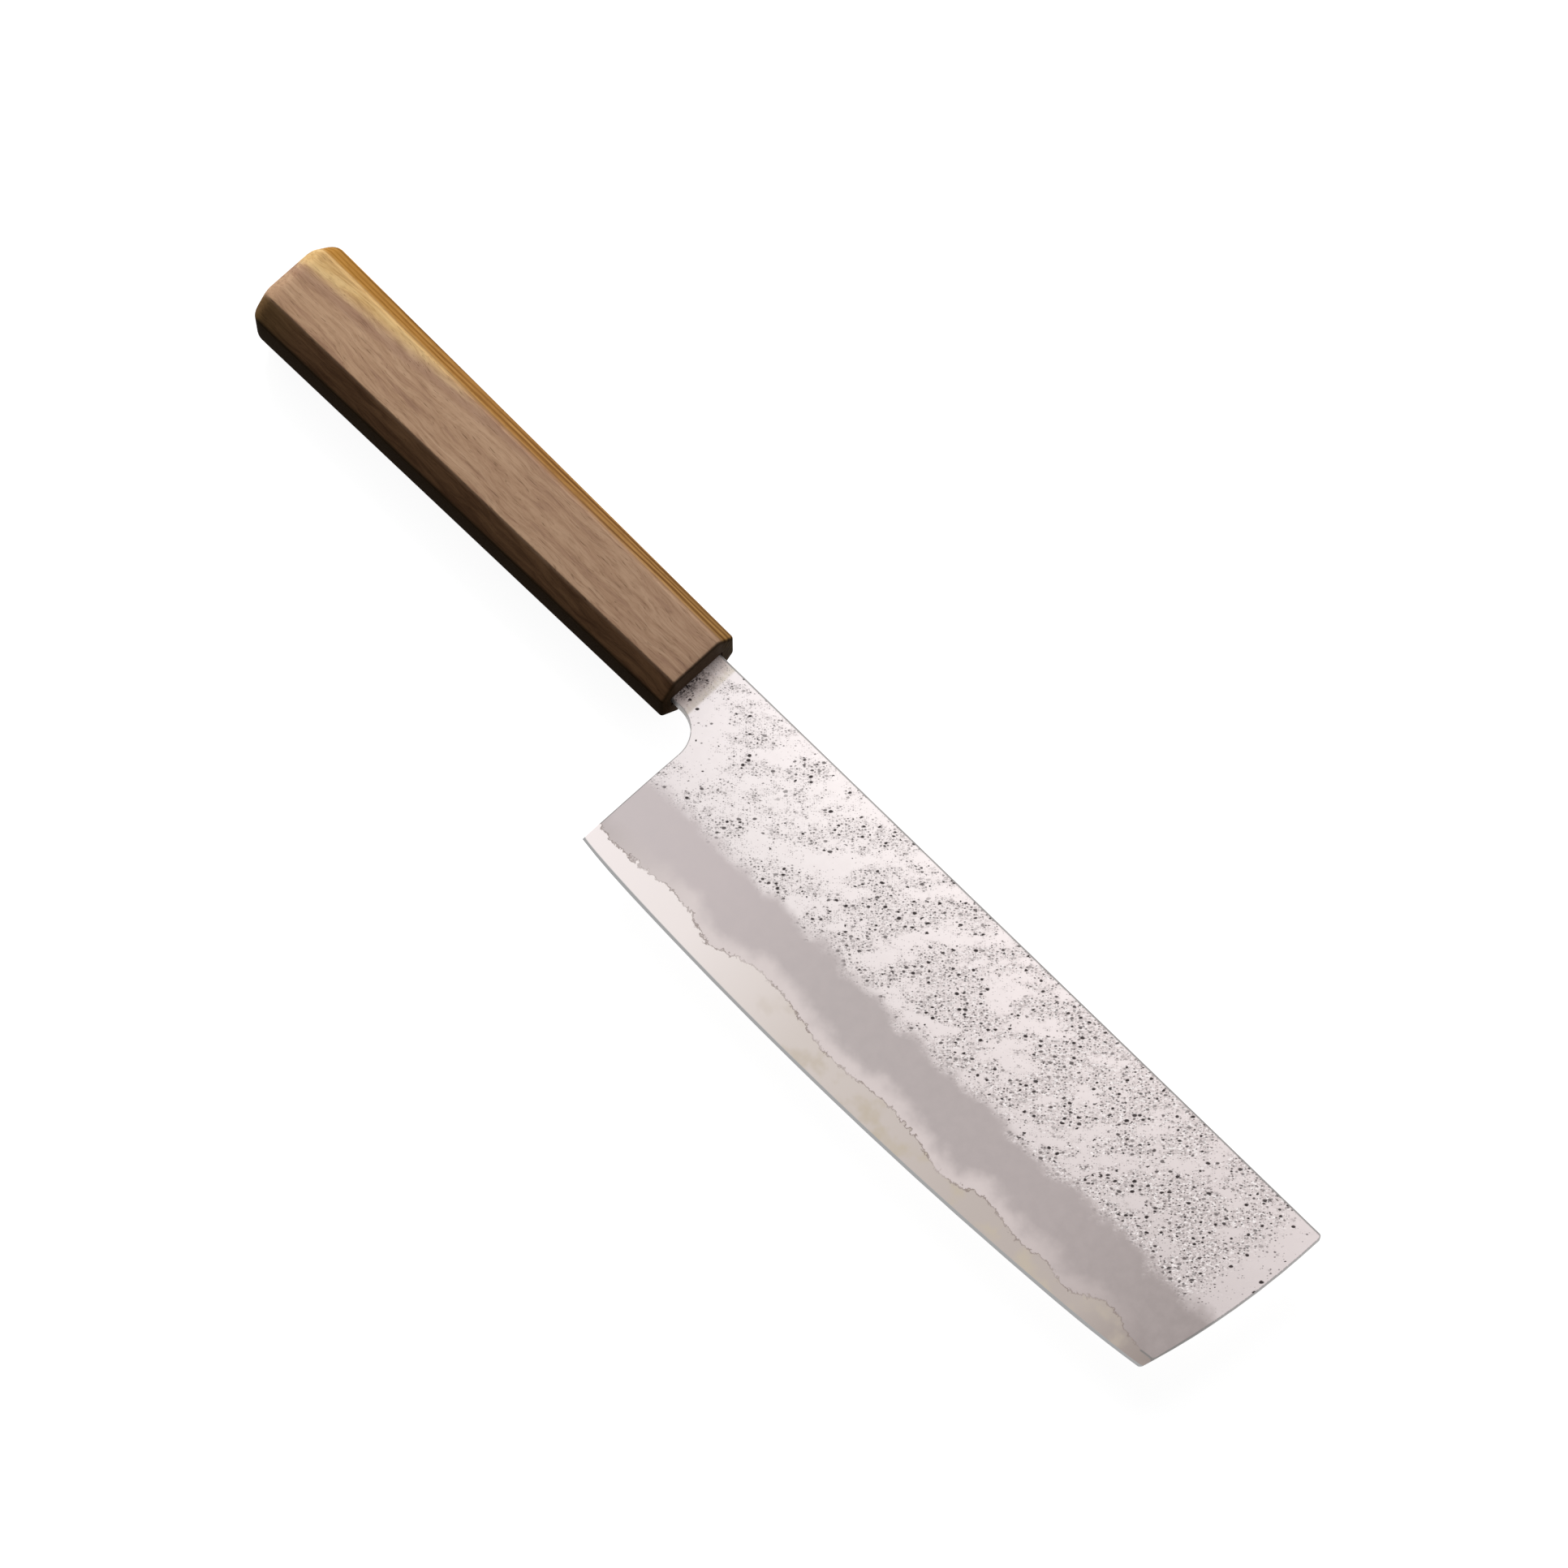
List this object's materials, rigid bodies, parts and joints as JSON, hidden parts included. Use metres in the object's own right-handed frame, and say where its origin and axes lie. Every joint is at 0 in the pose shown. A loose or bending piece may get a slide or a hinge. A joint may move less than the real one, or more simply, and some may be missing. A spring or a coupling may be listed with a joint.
{
  "type": "nakiri knife",
  "caption": "Double-bevel vegetable knife with a tall straight-backed laminated blade, a blunt front and an octagonal wooden handle on a hidden tang.",
  "frame": {"origin": "centre of the bounding box of the whole knife, at the bottom, on the surface it lies on", "axes": "+X from the handle to the blade's tip, +Y from the cutting edge to the spine, +Z out of the blade's right face, square to the blade's middle plane"},
  "size_m": [0.3104, 0.0584, 0.019],
  "materials": {
    "core_steel": "satin ground, fine edge bevel",
    "cladding_steel": "pear-skin forged sides over a hazy satin bevel",
    "handle_wood": "sanded and oiled hardwood",
    "tang_adhesive": "cured resin",
    "mouth_sealant": "dark matt sealant"
  },
  "bodies": {
    "root": {"core_steel": "core_steel", "right_cladding": "cladding_steel", "left_cladding": "cladding_steel", "handle_body": "handle_wood", "tang_bedding": "tang_adhesive", "mouth_seal": "mouth_sealant"}
  },
  "joints": []
}
